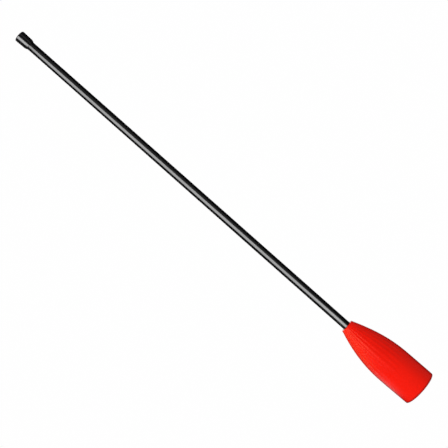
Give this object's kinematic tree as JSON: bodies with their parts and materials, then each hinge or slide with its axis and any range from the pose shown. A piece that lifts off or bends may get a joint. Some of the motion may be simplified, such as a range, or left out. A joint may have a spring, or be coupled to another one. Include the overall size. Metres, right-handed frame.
{
  "type": "rowing oar",
  "caption": "Take-apart oar with a straight black tube shaft, a slip-on end cap and a hollow red fluted bell-shaped blade that stands on its rim.",
  "frame": {"origin": "centre of the bell's rim plane, on the shaft's axis", "axes": "+Z runs along the shaft from the bell's rim to the handle cap; +X and +Y are square to it, with the anchor pin along X"},
  "size_m": [0.1308, 0.1308, 1.777],
  "materials": {
    "blade_red": "satin",
    "shaft_black": "gloss",
    "cap_black": "gloss",
    "hub_black": "matte",
    "plug_white": "matte",
    "foam_grey": "matte",
    "seal_black": "matte",
    "stainless": "satin",
    "brass": "satin"
  },
  "bodies": {
    "blade": {"bell_shell": "blade_red", "neck_oring": "seal_black", "socket_hub": "hub_black", "hub_bolt": "stainless", "fender_washer": "stainless", "spring_washer": "stainless", "hub_screw_1": "stainless", "hub_screw_2": "stainless", "hub_screw_3": "stainless"},
    "shaft": {"shaft_tube": "shaft_black", "anchor_plug": "plug_white", "threaded_insert": "brass", "anchor_pin": "stainless", "anchor_oring": "seal_black", "lower_foam_plug": "foam_grey", "upper_foam_plug": "foam_grey", "handle_plug": "plug_white", "handle_plug_oring": "seal_black"},
    "cap": {"handle_cap": "cap_black"}
  },
  "joints": [
    {"name": "shaft_lift_out", "type": "slide", "parent": "blade", "child": "shaft", "axis": [0, 0, 1], "range_m": [0, 0.13]},
    {"name": "cap_pull_off", "type": "slide", "parent": "shaft", "child": "cap", "axis": [0, 0, 1], "range_m": [0, 0.06]}
  ]
}
